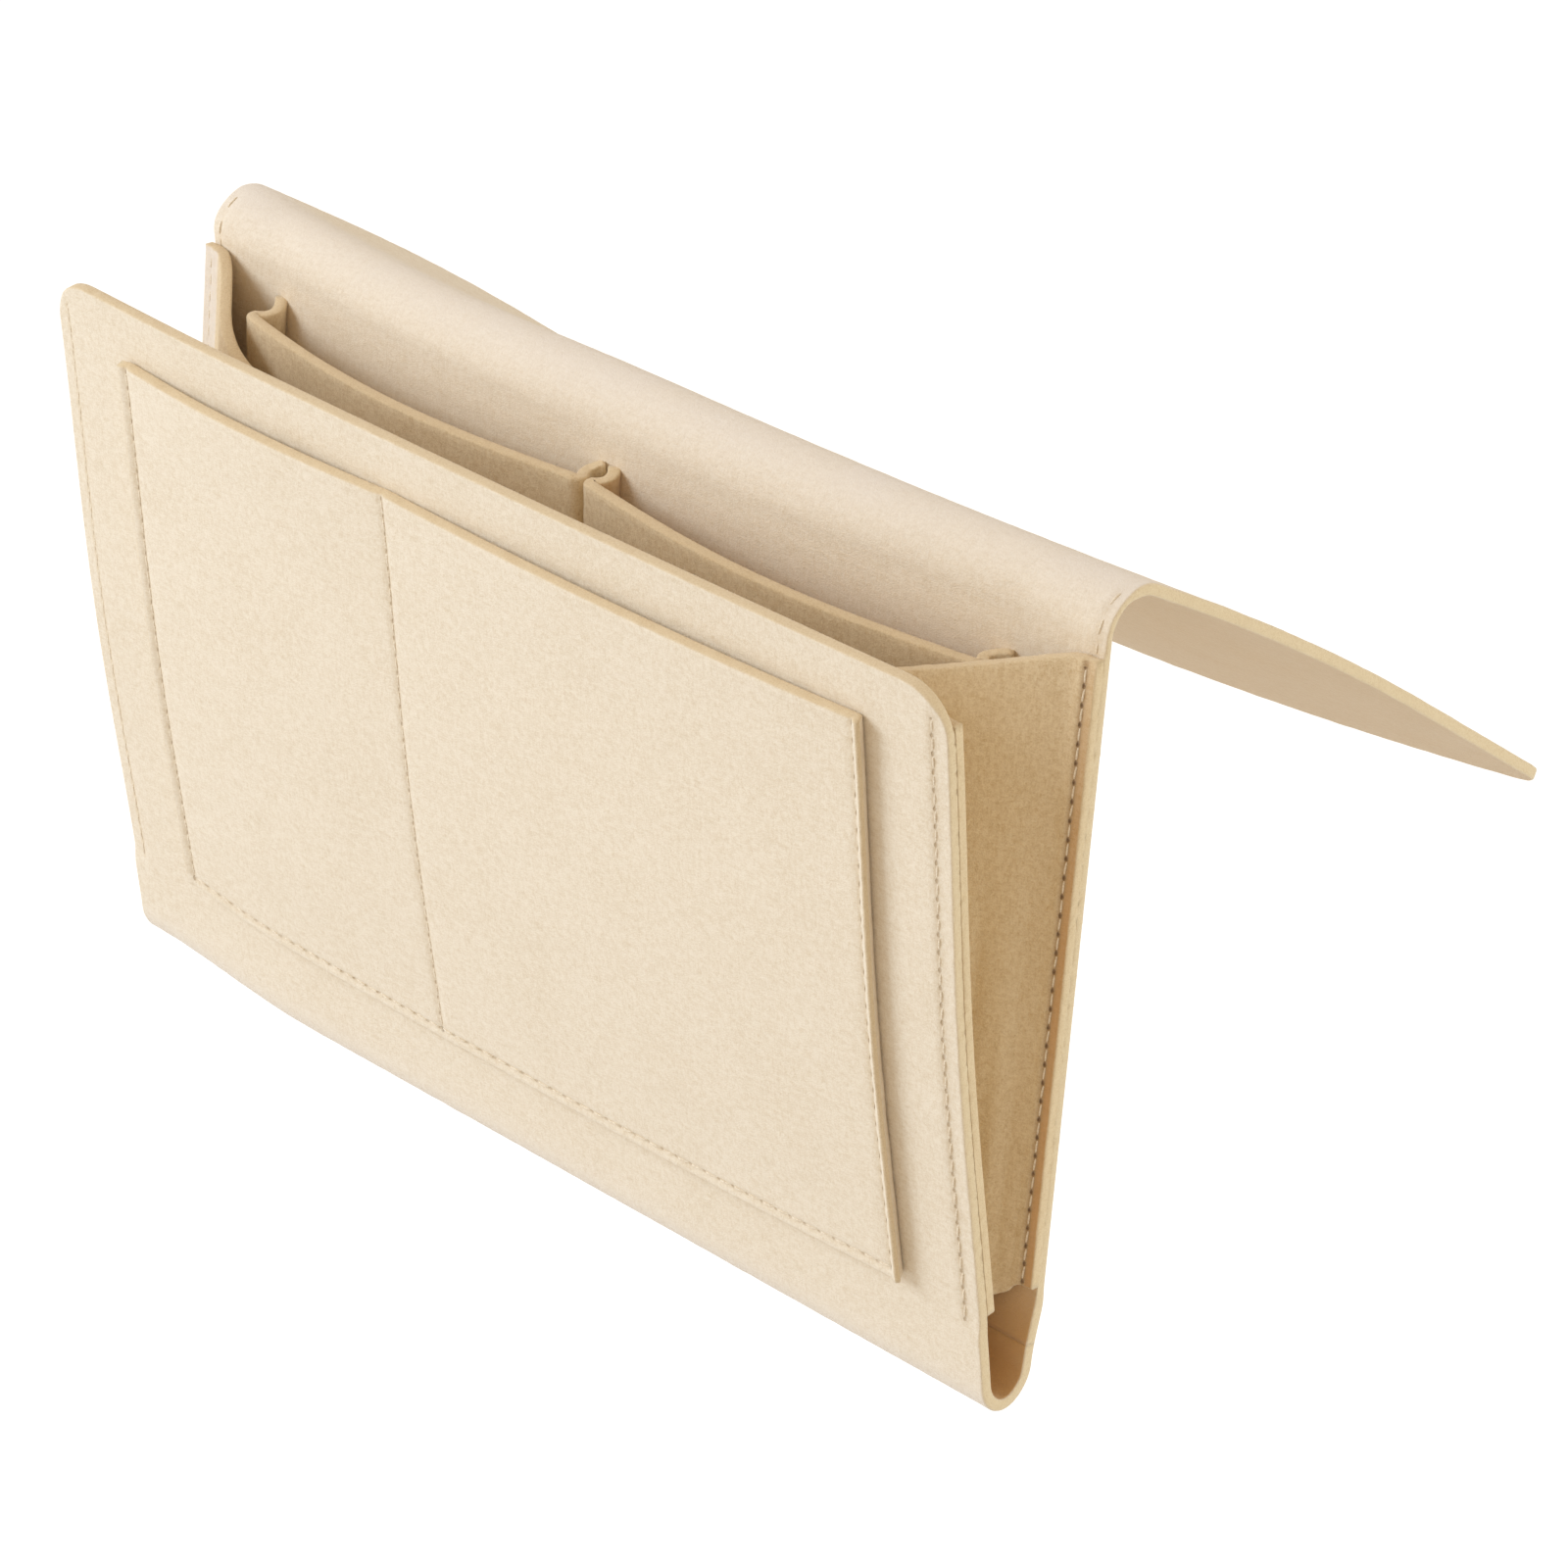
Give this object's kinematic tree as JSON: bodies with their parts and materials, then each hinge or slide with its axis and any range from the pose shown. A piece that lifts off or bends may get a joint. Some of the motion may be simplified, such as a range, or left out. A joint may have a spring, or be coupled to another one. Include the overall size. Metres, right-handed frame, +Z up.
{
  "type": "hanging felt storage bag",
  "caption": "Felt storage bag that hangs by a long rear flap, with folding end gussets, a stitched front pocket patch and pleated inner pockets.",
  "frame": {"origin": "on the underside of the rear flap, in the middle of its flat stretch, where it lies on the bed base or cushion that holds the bag up", "axes": "+X along the bag from its left end to its right end as seen from the front, -Y towards the front panel, +Y along the flap's reach to the rear, +Z up with the back panel hanging upright"},
  "size_m": [0.3424, 0.2513, 0.2339],
  "materials": {
    "felt": "matte pressed cream felt"
  },
  "bodies": {
    "flap": {"flap": "felt", "top_bend": "felt"},
    "back": {"back_panel": "felt", "bottom_fold": "felt", "pocket_hem": "felt", "left_rear_flange": "felt", "right_rear_flange": "felt", "left_outer_pleat": "felt", "left_inner_pleat": "felt", "right_inner_pleat": "felt", "right_outer_pleat": "felt"},
    "front": {"front_panel": "felt", "front_patch": "felt", "left_front_flange": "felt", "right_front_flange": "felt"},
    "left_rear_web": {"left_rear_web": "felt"},
    "right_rear_web": {"right_rear_web": "felt"},
    "left_front_web": {"left_front_web": "felt"},
    "right_front_web": {"right_front_web": "felt"},
    "left_pocket": {"left_pocket_wall": "felt"},
    "right_pocket": {"right_pocket_wall": "felt"}
  },
  "joints": [
    {"name": "flap_fold", "type": "hinge", "parent": "flap", "child": "back", "pos_m": [0, -0.14639, 0.09714], "axis": [1, 0, 0], "range_deg": [-116, 56], "deforming": ["top_bend"]},
    {"name": "base_fold", "type": "hinge", "parent": "back", "child": "front", "pos_m": [0, -0.16093, -0.1224], "axis": [1, 0, 0], "range_deg": [-8, 6], "deforming": ["bottom_fold", "left_outer_pleat", "left_inner_pleat", "right_inner_pleat", "right_outer_pleat"]},
    {"name": "left_rear_gusset_fold", "type": "hinge", "parent": "back", "child": "left_rear_web", "pos_m": [-0.16415, -0.15548, 0], "axis": [0, 0, 1], "range_deg": [-14.6, 19.5]},
    {"name": "right_rear_gusset_fold", "type": "hinge", "parent": "back", "child": "right_rear_web", "pos_m": [0.16415, -0.15548, 0], "axis": [0, 0, 1], "range_deg": [-19.5, 14.6]},
    {"name": "left_front_gusset_fold", "type": "hinge", "parent": "front", "child": "left_front_web", "pos_m": [-0.16415, -0.16628, -0.12342], "axis": [0, -0.1874, 0.9823], "range_deg": [-19.5, 14.6]},
    {"name": "right_front_gusset_fold", "type": "hinge", "parent": "front", "child": "right_front_web", "pos_m": [0.16415, -0.16628, -0.12342], "axis": [0, -0.1874, 0.9823], "range_deg": [-14.6, 19.5]},
    {"name": "left_pocket_fold", "type": "hinge", "parent": "back", "child": "left_pocket", "pos_m": [0, -0.15548, -0.0944], "axis": [1, 0, 0], "range_deg": [-3.5, 2.7]},
    {"name": "right_pocket_fold", "type": "hinge", "parent": "back", "child": "right_pocket", "pos_m": [0, -0.15548, -0.0944], "axis": [1, 0, 0], "range_deg": [-3.5, 2.7]}
  ],
  "couplings": [
    {"joint": "left_rear_gusset_fold", "follows": "base_fold", "ratio": -2.4},
    {"joint": "right_rear_gusset_fold", "follows": "base_fold", "ratio": 2.4},
    {"joint": "left_front_gusset_fold", "follows": "base_fold", "ratio": 2.4},
    {"joint": "right_front_gusset_fold", "follows": "base_fold", "ratio": -2.4},
    {"joint": "left_pocket_fold", "follows": "base_fold", "ratio": 0.42},
    {"joint": "right_pocket_fold", "follows": "base_fold", "ratio": 0.42}
  ]
}
